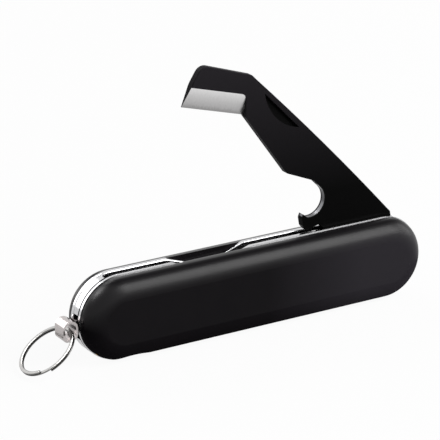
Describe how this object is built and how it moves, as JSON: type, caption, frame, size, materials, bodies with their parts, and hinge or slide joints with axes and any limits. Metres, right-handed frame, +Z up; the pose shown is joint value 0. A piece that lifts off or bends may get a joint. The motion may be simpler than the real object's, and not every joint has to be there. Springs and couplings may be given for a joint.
{
  "type": "waiters corkscrew",
  "caption": "Folding pocket waiter's corkscrew: capsule-shaped black handle, foil-blade and cap-lifter plate turned half open, a wire worm folded underneath, key ring on a bail.",
  "frame": {"origin": "on the surface the tool stands on, under the middle of the whole object as it lies at rest, key ring included; midway between the two sides of the handle", "axes": "+X along the handle towards the end the cutter turns on, +Y to the back of the handle, +Z up from the surface the handle stands on"},
  "size_m": [0.1042, 0.0142, 0.064],
  "materials": {
    "scale_black": "moulded, satin black",
    "liner_steel": "polished sheet",
    "spring_steel": "ground and polished",
    "pin_steel": "drawn wire",
    "collar_brass": "turned",
    "plate_black": "thin black coating, bevel ground bare",
    "bush_bronze": "turned bronze",
    "worm_steel": "polished wire",
    "bail_steel": "polished strip",
    "ring_steel": "plated spring wire"
  },
  "bodies": {
    "handle": {"front_scale": "scale_black", "back_scale": "scale_black", "front_liner": "liner_steel", "back_liner": "liner_steel", "end_spacer": "liner_steel", "back_spring": "spring_steel", "stop_pin": "pin_steel", "pivot_rivet": "pin_steel", "pivot_collars": "collar_brass", "spring_rivets": "pin_steel", "spring_collars": "collar_brass", "spacer_rivets": "pin_steel", "spacer_collars": "collar_brass", "bail_pin": "pin_steel", "bail_collars": "collar_brass", "corkscrew_pin": "pin_steel", "corkscrew_washer": "collar_brass", "corkscrew_collar": "collar_brass"},
    "cutter": {"cutter_opener": "plate_black", "pivot_bush": "bush_bronze"},
    "corkscrew": {"corkscrew_worm": "worm_steel"},
    "bail": {"ring_bail": "bail_steel"},
    "ring": {"split_ring": "ring_steel"}
  },
  "joints": [
    {"name": "cutter_fold", "type": "hinge", "parent": "handle", "child": "cutter", "pos_m": [0.04245, 0, 0.0108], "axis": [0, -1, 0], "range_deg": [-134.2, 45.8]},
    {"name": "corkscrew_fold", "type": "hinge", "parent": "handle", "child": "corkscrew", "pos_m": [0.02345, 0, 0.0035], "axis": [0, -1, 0], "range_deg": [0, 90]},
    {"name": "bail_swing", "type": "hinge", "parent": "handle", "child": "bail", "pos_m": [-0.03585, 0, 0.009], "axis": [0, -1, 0], "range_deg": [-12, 12]},
    {"name": "ring_swing", "type": "hinge", "parent": "bail", "child": "ring", "pos_m": [-0.04083, 0, 0.00885], "axis": [0, -1, 0], "range_deg": [-124, 52]}
  ]
}
